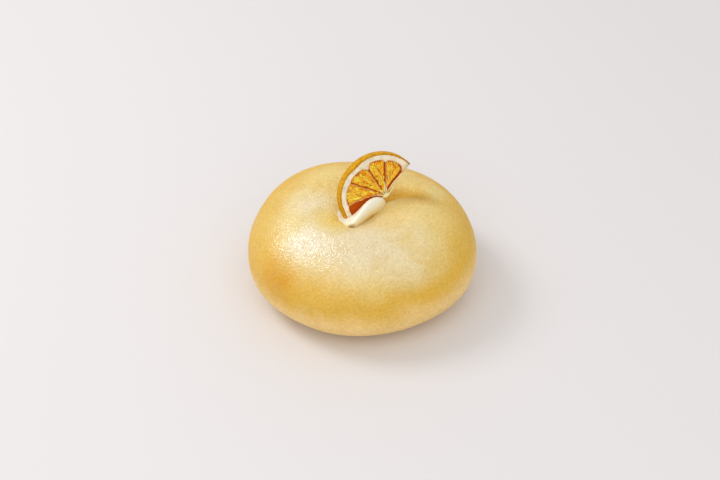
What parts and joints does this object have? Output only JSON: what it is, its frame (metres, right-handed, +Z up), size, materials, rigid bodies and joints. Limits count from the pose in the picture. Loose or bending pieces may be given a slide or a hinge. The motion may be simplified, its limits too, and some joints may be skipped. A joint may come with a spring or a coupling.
{
  "type": "bagel with icing and dried lemon",
  "caption": "Plump pale bagel whose hole has closed to a creased dip, with a dab of white icing holding a dried half-slice of lemon upright.",
  "frame": {"origin": "the middle of the flat base the bagel was baked on, so the bagel stands on z = 0", "axes": "+Z up; -Y is the front, the side the cut face of the lemon slice looks towards; +X to the right seen from the front, along the bagel's slightly longer width"},
  "size_m": [0.1073, 0.1028, 0.0683],
  "materials": {
    "crust": "pale cream-gold baked crust with a soft sheen",
    "icing": "smooth set white icing, glossy",
    "lemon": "dried citrus: golden rind and flesh, whitish pith"
  },
  "bodies": {
    "root": {"bagel": "crust", "icing": "icing", "lemon_slice": "lemon"}
  },
  "joints": []
}
